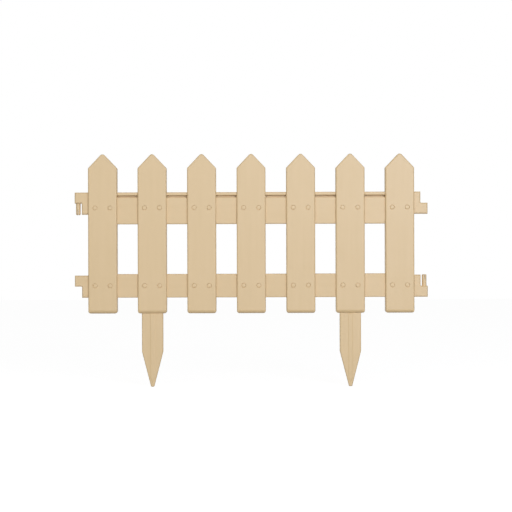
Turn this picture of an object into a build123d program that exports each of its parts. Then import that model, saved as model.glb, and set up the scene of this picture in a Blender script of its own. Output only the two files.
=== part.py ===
from build123d import *
import math
import os

# Border fence panel in moulded plastic: seven pointed pickets on two rails, with two ground stakes.
# Sizes are in millimetres. X runs along the panel, to the right seen from the front.
# The front faces -Y, Z points up, and the origin lies on the flat foot of the middle picket.

# The upright axes of the end fittings are one panel pitch apart, so panels join at that spacing.
PANEL_PITCH = 600.0
PICKET_COUNT = 7
PICKET_PITCH = PANEL_PITCH / PICKET_COUNT
WALL = 2.2
FIT = 0.3
CUT_MARGIN = 1.0

# Pickets: pointed heads, rounded feet, hollow behind.
PICKET_WIDTH = 50.0
PICKET_DEPTH = 20.0
SHOULDER_HEIGHT = 251.5
HEAD_SLOPE = 46.5
TIP_RADIUS = 5.0
SHOULDER_RADIUS = 3.2
FOOT_RADIUS = 4.5
FACE_ROUNDING = 2.4
FOOT_ROLL = 6.0

# Rails: channels that are open at the back, where they lie flush with the pickets.
RAIL_DEPTH = 15.0
RAIL_ROUNDING = 1.6
TOP_RAIL_LOW = 154.6
TOP_RAIL_HEIGHT = 55.2
LIP_HEIGHT = 5.8
LIP_WALL = 1.8
GROOVE_HEIGHT = 3.0
GROOVE_DEPTH = 8.0
BOTTOM_RAIL_LOW = 27.4
BOTTOM_RAIL_HEIGHT = 40.8
RIB_THICKNESS = 1.6
RIB_SETBACK = 2.0

# Fastenings of a picket to a rail: two seats behind two shallow round recesses, two bosses in the rail.
# They rise by these amounts above the rail's low edge.
FASTENER_OFFSET = 13.0
TOP_FASTENER_RISE = 28.1
BOTTOM_FASTENER_RISE = 20.7
RECESS_RADIUS = 4.2
RECESS_DEPTH = 1.2
RECESS_SIDES = 16
SEAT_WIDTH = 10.0
BOSS_RADIUS = 3.8
BOSS_SIDES = 8
BOSS_LENGTH = 6.5

# Stepped end pieces: a half lap, its long half with a pin or a socket, and a tongue in the rail.
END_HEIGHT = 38.4
TONGUE_LENGTH = 18.0
TONGUE_THICKNESS = 3.0
END_REACH = 5.7
END_CLEARANCE = 1.0
LAP_CLEARANCE = 0.4
END_BEVEL = 1.8
STEP_FILLET = 1.5
PIN_RADIUS = 4.0
PIN_LENGTH = 20.0
PIN_TAPER = 1.2
SLIT_WIDTH = 1.0
SLIT_LENGTH = 9.0
SOCKET_RADIUS = 4.25

# Stakes: channels with a middle rib, plugged into the feet of two pickets.
STAKE_WIDTH = 36.7
STAKE_DEPTH = 11.0
STAKE_WALL = 2.4
STAKE_STRAIGHT = 66.0
STAKE_LENGTH = 127.0
STAKE_TIP_WIDTH = 5.5
STAKE_TIP_RADIUS = 2.0
STAKE_TIP_DEPTH = 4.0
STAKE_RIB = 2.4
STAKE_BEVEL = 1.2
RIDGE_WIDTH = 8.4
RIDGE_HEIGHT = 0.45
RIDGE_SLOPE = 18.0
RIDGE_END = 6.0
STAKE_PICKETS = (2, 6)

FRONT = -PICKET_DEPTH / 2
BACK = PICKET_DEPTH / 2
RAIL_FRONT = BACK - RAIL_DEPTH
RAIL_MIDDLE = BACK - RAIL_DEPTH / 2
TOP_RAIL_HIGH = TOP_RAIL_LOW + TOP_RAIL_HEIGHT
TOP_FACE_HIGH = TOP_RAIL_HIGH - LIP_HEIGHT - GROOVE_HEIGHT
BOTTOM_RAIL_HIGH = BOTTOM_RAIL_LOW + BOTTOM_RAIL_HEIGHT
TOP_FASTENER_HEIGHT = TOP_RAIL_LOW + TOP_FASTENER_RISE
BOTTOM_FASTENER_HEIGHT = BOTTOM_RAIL_LOW + BOTTOM_FASTENER_RISE
RAIL_HALF_LENGTH = PICKET_PITCH * (PICKET_COUNT - 1) / 2 + PICKET_WIDTH / 2 - WALL - FIT
PIVOT = PANEL_PITCH / 2


def picket_x(number):
    """Middle of a picket, counted from 1 at the left."""
    return PICKET_PITCH * (number - (PICKET_COUNT + 1) / 2)


def upright(sketch, y_front, y_back):
    """Extrude a front-view sketch from its back plane to its front plane."""
    return extrude(Plane.XZ.offset(-y_back) * sketch, y_back - y_front, dir=(0, -1, 0))


def along(section, half_length):
    """Run a section along X, the same way to both sides of the middle."""
    return extrude(Plane.YZ.offset(-half_length) * section, 2 * half_length, dir=(1, 0, 0))


def block(x_range, y_range, z_range):
    """Plain box between three pairs of limits."""
    size = [high - low for low, high in (x_range, y_range, z_range)]
    middle = [(high + low) / 2 for low, high in (x_range, y_range, z_range)]
    return Pos(*middle) * Box(*size)


def many_sided_bar(x, z, y_start, y_end, radius, sides):
    """Nearly round bar along Y between two planes, with few sides because it repeats often."""
    return upright(Pos(x, z) * RegularPolygon(radius, sides, rotation=180 / sides), y_start, y_end)


def bevel_front(body, flush_edges, size):
    """Bevel the outline of a body's front face, apart from the edges that stay flush with a neighbour."""
    outline = body.faces().sort_by(Axis.Y)[0].edges()
    return chamfer([edge for edge in outline if edge not in flush_edges], size)


def foot_waste(front, low, roll):
    """What lies outside a quarter-round foot edge: a square bar less a cylinder."""
    past = CUT_MARGIN
    bar = block((-PICKET_WIDTH, PICKET_WIDTH), (front - past, front + roll), (low - past, low + roll))
    round_bar = Pos(0, front + roll, low + roll) * Rot(0, 90, 0) * Cylinder(roll, 2 * PICKET_WIDTH)
    return bar - round_bar


def picket_outline():
    """Front view of a picket: a pointed board with every corner rounded."""
    half = PICKET_WIDTH / 2
    apex = SHOULDER_HEIGHT + half * math.tan(math.radians(HEAD_SLOPE))
    board = Polygon(
        (-half, 0), (half, 0), (half, SHOULDER_HEIGHT), (0, apex), (-half, SHOULDER_HEIGHT), align=None
    )
    board = fillet(board.vertices().sort_by(Axis.Y)[-1], TIP_RADIUS)
    board = fillet(board.vertices().group_by(Axis.Y)[0], FOOT_RADIUS)
    return fillet(board.vertices().group_by(Axis.Y)[2], SHOULDER_RADIUS)


def picket_shell():
    """Hollow picket with soft front edges and a foot that rolls under."""
    outline = picket_outline()
    outer = upright(outline, FRONT, BACK)
    outer = fillet(outer.faces().sort_by(Axis.Y)[0].edges(), FACE_ROUNDING)
    outer -= foot_waste(FRONT, 0, FOOT_ROLL)
    hollow = upright(offset(outline, -WALL), FRONT + WALL, BACK + CUT_MARGIN)
    hollow -= foot_waste(FRONT + WALL, WALL, FOOT_ROLL - WALL)
    return outer - hollow


def rail_notch(x_range, low, high):
    """Room for a rail in the side walls of a picket, open at the back."""
    return block(x_range, (RAIL_FRONT - FIT, BACK + CUT_MARGIN), (low - FIT, high + FIT))


def picket(number):
    """One picket in its place, with notches, seats and recesses, and a slot where a stake enters."""
    body = picket_shell()
    left_end = number == 1
    right_end = number == PICKET_COUNT
    top_end_low = TOP_RAIL_HIGH - END_HEIGHT
    bottom_end_high = BOTTOM_RAIL_LOW + END_HEIGHT
    for is_end, x_range in ((left_end, (-PICKET_WIDTH, 0)), (right_end, (0, PICKET_WIDTH))):
        body -= rail_notch(x_range, top_end_low if is_end else TOP_RAIL_LOW, TOP_RAIL_HIGH)
        body -= rail_notch(x_range, BOTTOM_RAIL_LOW, bottom_end_high if is_end else BOTTOM_RAIL_HIGH)
    for z in (TOP_FASTENER_HEIGHT, BOTTOM_FASTENER_HEIGHT):
        for x in (-FASTENER_OFFSET, FASTENER_OFFSET):
            half = SEAT_WIDTH / 2
            body += block((x - half, x + half), (FRONT + WALL, RAIL_FRONT), (z - half, z + half))
            floor = FRONT + RECESS_DEPTH
            body -= many_sided_bar(x, z, FRONT - CUT_MARGIN, floor, RECESS_RADIUS, RECESS_SIDES)
    if number in STAKE_PICKETS:
        slot = STAKE_WIDTH / 2 + FIT
        body -= block((-slot, slot), (RAIL_FRONT - FIT, BACK + CUT_MARGIN), (-CUT_MARGIN, FOOT_ROLL))
    return Pos(picket_x(number), 0, 0) * body


def top_profile():
    """Section of the top rail: one folded wall with a deep groove under a narrow lip."""
    lip_low = TOP_RAIL_HIGH - LIP_HEIGHT
    floor = RAIL_FRONT + GROOVE_DEPTH
    section = Polygon(
        (BACK, TOP_RAIL_LOW),
        (RAIL_FRONT, TOP_RAIL_LOW),
        (RAIL_FRONT, TOP_FACE_HIGH),
        (floor, TOP_FACE_HIGH),
        (floor, lip_low),
        (RAIL_FRONT, lip_low),
        (RAIL_FRONT, TOP_RAIL_HIGH),
        (BACK, TOP_RAIL_HIGH),
        (BACK, TOP_RAIL_HIGH - LIP_WALL),
        (RAIL_FRONT + LIP_WALL, TOP_RAIL_HIGH - LIP_WALL),
        (RAIL_FRONT + LIP_WALL, lip_low + LIP_WALL),
        (floor + WALL, lip_low + LIP_WALL),
        (floor + WALL, TOP_FACE_HIGH - WALL),
        (RAIL_FRONT + WALL, TOP_FACE_HIGH - WALL),
        (RAIL_FRONT + WALL, TOP_RAIL_LOW + WALL),
        (BACK, TOP_RAIL_LOW + WALL),
        align=None,
    )
    return fillet(section.vertices().group_by(Axis.X)[0], RAIL_ROUNDING)


def bottom_profile():
    """Section of the bottom rail: a plain channel."""
    section = Polygon(
        (BACK, BOTTOM_RAIL_LOW),
        (RAIL_FRONT, BOTTOM_RAIL_LOW),
        (RAIL_FRONT, BOTTOM_RAIL_HIGH),
        (BACK, BOTTOM_RAIL_HIGH),
        (BACK, BOTTOM_RAIL_HIGH - WALL),
        (RAIL_FRONT + WALL, BOTTOM_RAIL_HIGH - WALL),
        (RAIL_FRONT + WALL, BOTTOM_RAIL_LOW + WALL),
        (BACK, BOTTOM_RAIL_LOW + WALL),
        align=None,
    )
    return fillet(section.vertices().group_by(Axis.X)[0], RAIL_ROUNDING)


def fastener_boss(x, z, radius):
    """Eight-sided boss behind a rail's front wall, or with a larger radius the room for it."""
    return many_sided_bar(x, z, RAIL_FRONT + WALL / 2, RAIL_FRONT + WALL + BOSS_LENGTH, radius, BOSS_SIDES)


def channel(profile, low, high, fastener_height):
    """Rail: its section run along X, with a cross rib in each gap and two bosses behind each picket."""
    body = along(profile, RAIL_HALF_LENGTH)
    for gap in range(1, PICKET_COUNT):
        x = (picket_x(gap) + picket_x(gap + 1)) / 2
        thick = (x - RIB_THICKNESS / 2, x + RIB_THICKNESS / 2)
        body += block(thick, (RAIL_FRONT + WALL / 2, BACK - RIB_SETBACK), (low + WALL / 2, high - WALL / 2))
    for number in range(1, PICKET_COUNT + 1):
        for shift in (-FASTENER_OFFSET, FASTENER_OFFSET):
            body += fastener_boss(picket_x(number) + shift, fastener_height, BOSS_RADIUS)
    return body


def top_rail():
    """Top rail, with the groove under its lip."""
    return channel(top_profile(), TOP_RAIL_LOW, TOP_FACE_HIGH, TOP_FASTENER_HEIGHT)


def bottom_rail():
    """Bottom rail, a plain channel."""
    return channel(bottom_profile(), BOTTOM_RAIL_LOW, BOTTOM_RAIL_HIGH, BOTTOM_FASTENER_HEIGHT)


def split_pin(base, way):
    """Upright pin with a tapered tip, slit along Y so that its two prongs spring; way is up or down."""
    tip = base + way * PIN_LENGTH
    stem = Pos(PIVOT, RAIL_MIDDLE, (base + tip) / 2) * Cylinder(PIN_RADIUS, PIN_LENGTH)
    rims = stem.edges().filter_by(GeomType.CIRCLE).sort_by(Axis.Z)
    stem = chamfer(rims[-1] if way > 0 else rims[0], PIN_TAPER)
    half = SLIT_WIDTH / 2
    across = (RAIL_MIDDLE - PIN_RADIUS - CUT_MARGIN, RAIL_MIDDLE + PIN_RADIUS + CUT_MARGIN)
    slit = sorted((tip + way * CUT_MARGIN, tip - way * SLIT_LENGTH))
    return stem - block((PIVOT - half, PIVOT + half), across, slit)


def half_lap(low, long_half_up):
    """Stepped block at a right-hand rail end, hollowed from the back; also the height of its step."""
    high = low + END_HEIGHT
    middle = low + END_HEIGHT / 2
    start = RAIL_HALF_LENGTH
    short = PIVOT - END_REACH - END_CLEARANCE
    reach = PIVOT + END_REACH
    if long_half_up:
        step = middle + LAP_CLEARANCE / 2
        points = [(start, low), (short, low), (short, step), (reach, step), (reach, high), (start, high)]
    else:
        step = middle - LAP_CLEARANCE / 2
        points = [(start, low), (reach, low), (reach, step), (short, step), (short, high), (start, high)]
    lap = Polygon(*points, align=None)
    lap = fillet(lap.vertices().sort_by_distance((short, step))[0], STEP_FILLET)
    body = upright(lap, RAIL_FRONT, BACK)
    body = bevel_front(body, body.edges().group_by(Axis.X)[0], END_BEVEL)
    inside = (start + WALL, short - WALL)
    depth = (RAIL_FRONT + WALL, BACK + CUT_MARGIN)
    for pocket in ((low + WALL, middle - WALL / 2), (middle + WALL / 2, high - WALL)):
        body -= block(inside, depth, pocket)
    return body, step


def end_piece(side, low, long_half_up, has_pin, channel_limits, fastener_height):
    """Rail end beyond the last picket: half lap, pin or socket, and a tongue held by a fastener boss."""
    body, step = half_lap(low, long_half_up)
    if has_pin:
        body += split_pin(step, -1 if long_half_up else 1)
    else:
        body -= Pos(PIVOT, RAIL_MIDDLE, step) * Cylinder(SOCKET_RADIUS, 2 * END_HEIGHT)
    tongue_low = max(low, channel_limits[0] + WALL) + FIT
    tongue_high = min(low + END_HEIGHT, channel_limits[1] - WALL) - FIT
    tongue_x = (RAIL_HALF_LENGTH - TONGUE_LENGTH, RAIL_HALF_LENGTH + WALL / 2)
    tongue_y = (RAIL_FRONT + WALL, RAIL_FRONT + WALL + TONGUE_THICKNESS)
    body += block(tongue_x, tongue_y, (tongue_low, tongue_high))
    body -= fastener_boss(picket_x(PICKET_COUNT) + FASTENER_OFFSET, fastener_height, BOSS_RADIUS + FIT)
    return body if side > 0 else mirror(body, Plane.YZ)


def top_end(side, long_half_up, has_pin):
    """End piece of the top rail."""
    limits = (TOP_RAIL_LOW, TOP_FACE_HIGH)
    return end_piece(side, TOP_RAIL_HIGH - END_HEIGHT, long_half_up, has_pin, limits, TOP_FASTENER_HEIGHT)


def bottom_end(side, long_half_up, has_pin):
    """End piece of the bottom rail."""
    limits = (BOTTOM_RAIL_LOW, BOTTOM_RAIL_HIGH)
    return end_piece(side, BOTTOM_RAIL_LOW, long_half_up, has_pin, limits, BOTTOM_FASTENER_HEIGHT)


def stake_outline():
    """Front view of a stake: a straight strip that tapers to a blunt point."""
    half = STAKE_WIDTH / 2
    tip = STAKE_TIP_WIDTH / 2
    strip = Polygon(
        (-half, BOTTOM_RAIL_LOW),
        (-half, -STAKE_STRAIGHT),
        (-tip, -STAKE_LENGTH),
        (tip, -STAKE_LENGTH),
        (half, -STAKE_STRAIGHT),
        (half, BOTTOM_RAIL_LOW),
        align=None,
    )
    return fillet(strip.vertices().group_by(Axis.Y)[0], STAKE_TIP_RADIUS)


def stake_ridge():
    """Low ridge with sloping sides along the front of a stake."""
    half = RIDGE_WIDTH / 2
    end = STAKE_LENGTH - RIDGE_END
    narrow = RIDGE_WIDTH - end
    plan = Polygon((-half, -FIT), (-half, narrow), (0, -end), (half, narrow), (half, -FIT), align=None)
    return extrude(Plane.XZ.offset(-RAIL_FRONT) * plan, RIDGE_HEIGHT, taper=90 - RIDGE_SLOPE)


def stake(number):
    """Ground stake: its top bears on the bottom rail, inside the foot of a picket."""
    outline = stake_outline()
    front = RAIL_FRONT
    back = front + STAKE_DEPTH
    body = upright(outline, front, back)
    body = bevel_front(body, body.edges().group_by(Axis.Z)[-1], STAKE_BEVEL)
    body -= upright(offset(outline, -STAKE_WALL), front + STAKE_WALL, back + CUT_MARGIN)
    rib_z = (STAKE_TIP_RADIUS - STAKE_LENGTH, BOTTOM_RAIL_LOW)
    body += block((-STAKE_RIB / 2, STAKE_RIB / 2), (front + STAKE_WALL / 2, back), rib_z)
    below = -STAKE_LENGTH - CUT_MARGIN
    behind = back + CUT_MARGIN
    wedge = Polygon(
        (back, -STAKE_STRAIGHT),
        (front + STAKE_TIP_DEPTH, below),
        (behind, below),
        (behind, -STAKE_STRAIGHT),
        align=None,
    )
    body -= along(wedge, STAKE_WIDTH)
    body += stake_ridge()
    return Pos(picket_x(number), 0, 0) * body


os.makedirs("parts", exist_ok=True)
for picket_number in range(1, PICKET_COUNT + 1):
    export_step(picket(picket_number), f"parts/picket_{picket_number}.step")
export_step(top_rail(), "parts/top_rail.step")
export_step(bottom_rail(), "parts/bottom_rail.step")
export_step(top_end(-1, long_half_up=True, has_pin=True), "parts/top_left_pin_end.step")
export_step(top_end(1, long_half_up=False, has_pin=False), "parts/top_right_socket_end.step")
export_step(bottom_end(-1, long_half_up=True, has_pin=False), "parts/bottom_left_socket_end.step")
export_step(bottom_end(1, long_half_up=False, has_pin=True), "parts/bottom_right_pin_end.step")
export_step(stake(STAKE_PICKETS[0]), "parts/left_stake.step")
export_step(stake(STAKE_PICKETS[1]), "parts/right_stake.step")
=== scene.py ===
import math

import bpy
import numpy as np
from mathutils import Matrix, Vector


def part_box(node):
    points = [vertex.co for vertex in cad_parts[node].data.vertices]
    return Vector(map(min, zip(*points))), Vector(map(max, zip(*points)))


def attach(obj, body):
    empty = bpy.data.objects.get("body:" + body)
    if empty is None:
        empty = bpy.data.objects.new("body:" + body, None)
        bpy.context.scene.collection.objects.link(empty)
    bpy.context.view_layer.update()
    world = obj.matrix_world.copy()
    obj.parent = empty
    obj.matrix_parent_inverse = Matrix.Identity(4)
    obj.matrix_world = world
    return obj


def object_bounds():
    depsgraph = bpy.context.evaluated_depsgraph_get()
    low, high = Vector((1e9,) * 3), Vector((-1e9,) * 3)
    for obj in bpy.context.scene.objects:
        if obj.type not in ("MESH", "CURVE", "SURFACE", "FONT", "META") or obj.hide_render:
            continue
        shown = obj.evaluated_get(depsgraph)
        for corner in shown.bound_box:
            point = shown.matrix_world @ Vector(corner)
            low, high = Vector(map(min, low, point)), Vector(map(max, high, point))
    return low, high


# Border fence panel in beige moulded plastic: the CAD pieces get their plastic finish,
# and the pegs that hold the pickets to the rails are added as pieces of their own.
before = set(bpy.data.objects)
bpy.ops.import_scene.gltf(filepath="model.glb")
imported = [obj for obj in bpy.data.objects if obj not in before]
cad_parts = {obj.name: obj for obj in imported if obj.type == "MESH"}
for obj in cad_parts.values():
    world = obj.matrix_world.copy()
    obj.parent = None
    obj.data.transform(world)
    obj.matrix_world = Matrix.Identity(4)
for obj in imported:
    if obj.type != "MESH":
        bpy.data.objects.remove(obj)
cad_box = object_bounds()
MM = 0.001


def linear(hex_colour):
    """sRGB hex colour as linear RGBA: each channel goes through the sRGB transfer curve."""
    channels = np.array([int(hex_colour[i : i + 2], 16) for i in (0, 2, 4)]) / 255
    curve = np.where(channels <= 0.04045, channels / 12.92, ((channels + 0.055) / 1.055) ** 2.4)
    return (*curve.tolist(), 1.0)


def add(tree, kind, inputs=None, **settings):
    """Add a shader node, set its properties, and set or link its inputs."""
    made = tree.nodes.new(kind)
    for name, value in settings.items():
        setattr(made, name, value)
    for key, value in (inputs or {}).items():
        if isinstance(value, bpy.types.NodeSocket):
            tree.links.new(value, made.inputs[key])
        else:
            made.inputs[key].default_value = value
    return made


# Plastic
PALE_BEIGE = "E1C495"
DEEP_BEIGE = "DEC191"
CLOUD_MM = 70.0
CLOUD_SHARE = 0.65
SINK_MM = 45.0
SINK_DEPTH_MM = 1.2
# The real mould grain is under 0.1 mm; it is drawn at 1.2 mm so that it shows at all.
GRAIN_MM = 1.2
GRAIN_DEPTH_MM = 0.08
SATIN_LOW = 0.36
SATIN_HIGH = 0.46
POLYPROPYLENE_IOR = 1.49


def moulded_polypropylene(name, flow_mm, seed_mm):
    """Injection-moulded polypropylene with a satin, lightly textured mould finish.

    The eye gets an even beige with faint cloudy patches where the pigment mixed unevenly, fainter
    streaks along the way the melt ran, a soft sheen, and a slight waviness where the wall sank.
    """
    material = bpy.data.materials.new(name)
    material.use_nodes = True
    tree = material.node_tree
    tree.nodes.clear()
    place = add(tree, "ShaderNodeTexCoord").outputs["Object"]
    seed = [seed_mm * MM] * 3
    place = add(tree, "ShaderNodeMapping", {"Vector": place, "Location": seed}).outputs[0]
    cloud = add(
        tree,
        "ShaderNodeTexNoise",
        {"Vector": place, "Scale": 1 / (CLOUD_MM * MM), "Detail": 3.0},
    )
    along = [1 / (size * MM) for size in flow_mm]
    streak_place = add(tree, "ShaderNodeMapping", {"Vector": place, "Scale": along}).outputs[0]
    streak = add(
        tree,
        "ShaderNodeTexNoise",
        {"Vector": streak_place, "Scale": 1.0, "Detail": 2.0},
    )
    tone = add(
        tree,
        "ShaderNodeMath",
        {0: cloud.outputs["Fac"], 1: CLOUD_SHARE, 2: streak.outputs["Fac"]},
        operation="MULTIPLY_ADD",
    )
    spread = add(
        tree,
        "ShaderNodeMapRange",
        {"Value": tone.outputs[0], "From Min": 0.55, "From Max": 1.1},
    )
    colour = add(
        tree,
        "ShaderNodeMix",
        {0: spread.outputs[0], 6: linear(DEEP_BEIGE), 7: linear(PALE_BEIGE)},
        data_type="RGBA",
    )
    grain = add(
        tree,
        "ShaderNodeTexNoise",
        {"Vector": place, "Scale": 1 / (GRAIN_MM * MM), "Detail": 2.0},
    )
    sink = add(
        tree,
        "ShaderNodeTexNoise",
        {"Vector": place, "Scale": 1 / (SINK_MM * MM), "Detail": 1.0},
    )
    waves = add(
        tree,
        "ShaderNodeBump",
        {"Height": sink.outputs["Fac"], "Strength": 0.35, "Distance": SINK_DEPTH_MM * MM},
    )
    relief = add(
        tree,
        "ShaderNodeBump",
        {
            "Height": grain.outputs["Fac"],
            "Strength": 0.22,
            "Distance": GRAIN_DEPTH_MM * MM,
            "Normal": waves.outputs["Normal"],
        },
    )
    sheen = add(
        tree,
        "ShaderNodeMapRange",
        {
            "Value": grain.outputs["Fac"],
            "From Min": 0.3,
            "From Max": 0.7,
            "To Min": SATIN_LOW,
            "To Max": SATIN_HIGH,
        },
    )
    shader = add(
        tree,
        "ShaderNodeBsdfPrincipled",
        {
            "Base Color": colour.outputs[2],
            "Roughness": sheen.outputs[0],
            "IOR": POLYPROPYLENE_IOR,
            "Normal": relief.outputs["Normal"],
        },
    )
    add(tree, "ShaderNodeOutputMaterial", {"Surface": shader.outputs[0]})
    return material


# Pegs
PEG_ROWS_MM = (182.7, 48.1)
PEG_OFFSET_MM = 13.0
RECESS_DEPTH_MM = 1.2
PEG_RADIUS_MM = 3.9
PEG_RIM_MM = 0.25
PEG_CROWN_MM = 1.15
PEG_FLAT = 0.6
PEG_SIDES = 28
PEG_SHOULDER_STEPS = 6


def peg_heads(centres, floor_y):
    """Flat-topped peg heads as one mesh.

    Each is a turned surface: a straight rim, a quarter-ellipse shoulder from the rim in to the
    flat, and a flat top, on a grid of profile steps by angle steps, with a pole in front and a
    pole behind.
    """
    turn = np.linspace(0, 2 * np.pi, PEG_SIDES, endpoint=False)
    sweep = np.linspace(0, np.pi / 2, PEG_SHOULDER_STEPS)
    radius = np.concatenate(([1.0], PEG_FLAT + (1 - PEG_FLAT) * np.cos(sweep)))
    rise = np.concatenate(([0.0], PEG_RIM_MM + (PEG_CROWN_MM - PEG_RIM_MM) * np.sin(sweep)))
    ring_x = radius[:, None] * np.cos(turn) * PEG_RADIUS_MM * MM
    ring_z = radius[:, None] * np.sin(turn) * PEG_RADIUS_MM * MM
    ring_y = np.broadcast_to(-rise[:, None] * MM, ring_x.shape)
    rings = np.stack([ring_x, ring_y, ring_z], -1).reshape(-1, 3)
    poles = np.array([[0, -PEG_CROWN_MM * MM, 0], [0, 0, 0]])
    one = np.concatenate([rings, poles])
    rows, cols = ring_x.shape
    grid = np.arange(rows * cols).reshape(rows, cols)
    nxt = np.roll(grid, -1, axis=1)
    quads = np.stack([grid[:-1], nxt[:-1], nxt[1:], grid[1:]], -1).reshape(-1, 4)
    front = np.stack([grid[-1], nxt[-1], np.full(cols, rows * cols)], -1)
    back = np.stack([nxt[0], grid[0], np.full(cols, rows * cols + 1)], -1)
    shift = np.arange(len(centres))[:, None, None] * len(one)
    places = np.column_stack([centres[:, 0], np.full(len(centres), floor_y), centres[:, 1]])
    points = (one[None] + places[:, None]).reshape(-1, 3)
    faces = []
    for part in (quads, front, back):
        faces += (part[None] + shift).reshape(-1, part.shape[1]).tolist()
    mesh = bpy.data.meshes.new("fastening_pegs")
    mesh.from_pydata(points.tolist(), [], faces)
    mesh.polygons.foreach_set("use_smooth", np.ones(len(mesh.polygons), bool))
    mesh.update()
    made = bpy.data.objects.new("fastening_pegs", mesh)
    bpy.context.scene.collection.objects.link(made)
    return made


pickets = sorted(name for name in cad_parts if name.startswith("picket_"))
middles = [sum(corner.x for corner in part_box(name)) / 2 for name in pickets]
front_y = min(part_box(name)[0].y for name in pickets)
peg_centres = np.array(
    [
        (middle + side * PEG_OFFSET_MM * MM, row * MM)
        for middle in middles
        for row in PEG_ROWS_MM
        for side in (-1, 1)
    ]
)
pegs = peg_heads(peg_centres, front_y + RECESS_DEPTH_MM * MM)

# Upright pieces were filled along Z, the rails and their ends along X.
upright_plastic = moulded_polypropylene(
    "moulded_polypropylene_upright", flow_mm=(9, 9, 130), seed_mm=0
)
rail_plastic = moulded_polypropylene("moulded_polypropylene_rail", flow_mm=(150, 8, 8), seed_mm=40)
for name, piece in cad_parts.items():
    lies_flat = "rail" in name or "end" in name
    piece.data.materials.clear()
    piece.data.materials.append(rail_plastic if lies_flat else upright_plastic)
pegs.data.materials.append(upright_plastic)
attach(pegs, "root")


# Studio
FLOOR_HALF = 6.0
FLOOR_SHADE_UNSEEN = 0.45
FLOOR_SHADE_SEEN = 0.26
FLOOR_GLOW_SEEN = 0.88


def seen_straight(tree):
    """1 for rays from the camera, from a reflection or through a clear piece, 0 for the rest."""
    path = add(tree, "ShaderNodeLightPath").outputs
    seen = path["Is Camera Ray"]
    for ray in ("Is Glossy Ray", "Is Transmission Ray"):
        seen = add(tree, "ShaderNodeMath", {0: seen, 1: path[ray]}, operation="MAXIMUM").outputs[0]
    return seen


def studio_floor(height):
    """Plain square floor under the stake tips; white to the camera, still with a soft shadow."""
    side = np.array([-1.0, 1.0]) * FLOOR_HALF
    across, away = np.meshgrid(side, side)
    corners = np.stack([across.ravel(), away.ravel(), np.full(4, height)], -1)
    mesh = bpy.data.meshes.new("studio_floor")
    mesh.from_pydata(corners.tolist(), [], [(0, 1, 3, 2)])
    floor = bpy.data.objects.new("studio_floor", mesh)
    bpy.context.scene.collection.objects.link(floor)
    paper = bpy.data.materials.new("matt_white_paper")
    paper.use_nodes = True
    tree = paper.node_tree
    tree.nodes.clear()
    seen = seen_straight(tree)
    shade = add(
        tree,
        "ShaderNodeMapRange",
        {"Value": seen, "To Min": FLOOR_SHADE_UNSEEN, "To Max": FLOOR_SHADE_SEEN},
    )
    glow = add(
        tree,
        "ShaderNodeMapRange",
        {"Value": seen, "To Min": 0.0, "To Max": FLOOR_GLOW_SEEN},
    )
    matt = add(tree, "ShaderNodeBsdfDiffuse", {"Color": shade.outputs[0]})
    white = add(
        tree,
        "ShaderNodeEmission",
        {"Color": linear("FFFFFF"), "Strength": glow.outputs[0]},
    )
    both = add(tree, "ShaderNodeAddShader", {0: matt.outputs[0], 1: white.outputs[0]})
    add(tree, "ShaderNodeOutputMaterial", {"Surface": both.outputs[0]})
    mesh.materials.append(paper)


def studio_world(side, front, back):
    """Grey light from all round, brightest straight ahead and behind, as from two white walls.

    The level rises from the sides to each wall with the ray's share along Y. The camera and
    reflections see white.
    """
    world = bpy.data.worlds.new("studio_air")
    bpy.context.scene.world = world
    world.use_nodes = True
    tree = world.node_tree
    tree.nodes.clear()
    way = add(tree, "ShaderNodeTexCoord").outputs["Generated"]
    way = add(tree, "ShaderNodeSeparateXYZ", {0: way}).outputs["Y"]
    ahead = add(
        tree,
        "ShaderNodeMapRange",
        {"Value": way, "From Min": -1.0, "From Max": 0.0, "To Min": front, "To Max": side},
    )
    behind = add(
        tree,
        "ShaderNodeMapRange",
        {"Value": way, "From Min": 0.0, "From Max": 1.0, "To Min": side, "To Max": back},
    )
    level = ahead.outputs[0]
    for other in (behind.outputs[0], seen_straight(tree)):
        level = add(tree, "ShaderNodeMath", {0: level, 1: other}, operation="MAXIMUM").outputs[0]
    air = add(tree, "ShaderNodeBackground", {"Color": linear("FFFFFF"), "Strength": level})
    add(tree, "ShaderNodeOutputWorld", {"Surface": air.outputs[0]})


def soft_lamp(name, place, target, size, watts, hex_colour):
    """Oblong soft box of a width and height at a place, turned so that its face looks at a target."""
    lamp = bpy.data.lights.new(name, "AREA")
    lamp.shape = "RECTANGLE"
    lamp.size, lamp.size_y = size
    lamp.energy = watts
    lamp.color = linear(hex_colour)[:3]
    box = bpy.data.objects.new(name, lamp)
    bpy.context.scene.collection.objects.link(box)
    box.location = place
    look = np.array(target) - np.array(place)
    flat = math.hypot(look[0], look[1])
    box.rotation_euler = (math.atan2(flat, -look[2]), 0, math.atan2(-look[0], look[1]))


studio_floor(cad_box[0].z)
studio_world(side=0.14, front=0.6, back=0.85)
soft_lamp(
    "key_box",
    place=(0.0, -3.3, 0.62),
    target=(0.0, 0.0, 0.08),
    size=(3.4, 1.4),
    watts=37.7,
    hex_colour="FFFFFF",
)
soft_lamp(
    "sheen_box",
    place=(0.9, -2.9, 0.7),
    target=(0.0, 0.0, 0.1),
    size=(0.9, 0.9),
    watts=28.7,
    hex_colour="DCE6FF",
)

camera_data = bpy.data.cameras.new("front_camera")
camera_data.sensor_width = 36.0
camera_data.lens = 121.6
camera = bpy.data.objects.new("front_camera", camera_data)
camera.location = (0.0082, -3.0, 0.0989)
camera.rotation_euler = (math.radians(90), math.radians(0.18), 0)
bpy.context.scene.collection.objects.link(camera)
bpy.context.scene.camera = camera
bpy.context.scene.view_settings.view_transform = "Standard"
